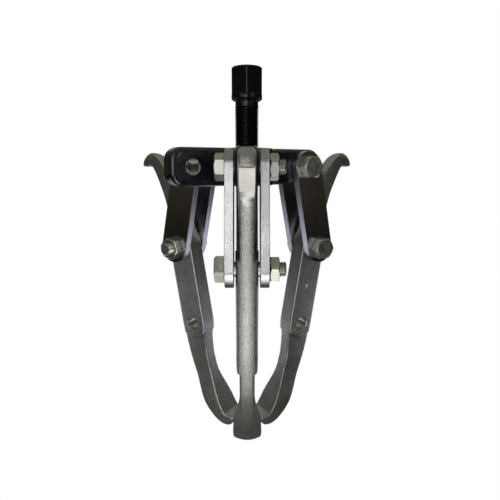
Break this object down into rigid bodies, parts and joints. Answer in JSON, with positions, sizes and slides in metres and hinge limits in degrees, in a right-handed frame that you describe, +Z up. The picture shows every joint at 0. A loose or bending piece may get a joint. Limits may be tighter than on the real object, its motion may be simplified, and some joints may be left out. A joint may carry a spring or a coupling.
{
  "type": "gear puller",
  "caption": "Three-jaw reversible gear puller: a lugged yoke carries bolted link pairs and double-ended jaws round a hex-headed forcing screw.",
  "frame": {"origin": "centre of the pressure tip's face, on the screw axis, with the tool closed as at rest", "axes": "+Z up the screw towards its hexagon; the front jaw is at -Y"},
  "size_m": [0.1438, 0.1246, 0.228],
  "materials": {
    "yoke_paint": "gloss black paint over a casting",
    "black_oxide": "black oxide, lightly oiled",
    "hardened_tip": "ground hardened steel",
    "forged_jaw": "satin plated forging with a pebbled skin",
    "polished_link": "polished plated strap with lengthwise streaks",
    "zinc_fastener": "bright zinc plate"
  },
  "bodies": {
    "yoke": {"yoke": "yoke_paint"},
    "tip": {"pressure_tip": "hardened_tip"},
    "screw": {"forcing_screw": "black_oxide"},
    "links_front": {"link_front_head_side": "polished_link", "link_front_nut_side": "polished_link", "upper_bolt_front": "zinc_fastener", "upper_nut_front": "zinc_fastener", "lower_bolt_front": "zinc_fastener", "lower_nut_front": "zinc_fastener"},
    "jaw_front": {"jaw_front": "forged_jaw"},
    "links_right": {"link_right_head_side": "polished_link", "link_right_nut_side": "polished_link", "upper_bolt_right": "zinc_fastener", "upper_nut_right": "zinc_fastener", "lower_bolt_right": "zinc_fastener", "lower_nut_right": "zinc_fastener"},
    "jaw_right": {"jaw_right": "forged_jaw"},
    "links_left": {"link_left_head_side": "polished_link", "link_left_nut_side": "polished_link", "upper_bolt_left": "zinc_fastener", "upper_nut_left": "zinc_fastener", "lower_bolt_left": "zinc_fastener", "lower_nut_left": "zinc_fastener"},
    "jaw_left": {"jaw_left": "forged_jaw"}
  },
  "joints": [
    {"name": "screw_feed", "type": "slide", "parent": "yoke", "child": "tip", "axis": [0, 0, 1], "range_m": [-0.0226, 0.0593]},
    {"name": "screw_turn", "type": "hinge", "parent": "tip", "child": "screw", "pos_m": [0, 0, 0.08], "axis": [0, 0, 1], "range_deg": [-5770, 15140]},
    {"name": "link_swing_front", "type": "hinge", "parent": "yoke", "child": "links_front", "pos_m": [0, -0.0383, 0.0878], "axis": [-1, 0, 0], "range_deg": [0, 60]},
    {"name": "jaw_swing_front", "type": "hinge", "parent": "links_front", "child": "jaw_front", "pos_m": [0, -0.04897, 0.03537], "axis": [-1, 0, 0], "range_deg": [-50.5, 0]},
    {"name": "link_swing_right", "type": "hinge", "parent": "yoke", "child": "links_right", "pos_m": [0.03317, 0.01915, 0.0878], "axis": [0.5, -0.866, 0], "range_deg": [0, 60]},
    {"name": "jaw_swing_right", "type": "hinge", "parent": "links_right", "child": "jaw_right", "pos_m": [0.04241, 0.02448, 0.03537], "axis": [0.5, -0.866, 0], "range_deg": [-50.5, 0]},
    {"name": "link_swing_left", "type": "hinge", "parent": "yoke", "child": "links_left", "pos_m": [-0.03317, 0.01915, 0.0878], "axis": [0.5, 0.866, 0], "range_deg": [0, 60]},
    {"name": "jaw_swing_left", "type": "hinge", "parent": "links_left", "child": "jaw_left", "pos_m": [-0.04241, 0.02448, 0.03537], "axis": [0.5, 0.866, 0], "range_deg": [-50.5, 0]}
  ],
  "couplings": [
    {"joint": "screw_turn", "follows": "screw_feed", "rad_per_m": 4453},
    {"joint": "jaw_swing_front", "follows": "link_swing_front", "ratio": -0.8296},
    {"joint": "jaw_swing_right", "follows": "link_swing_right", "ratio": -0.8296},
    {"joint": "jaw_swing_left", "follows": "link_swing_left", "ratio": -0.8296}
  ]
}
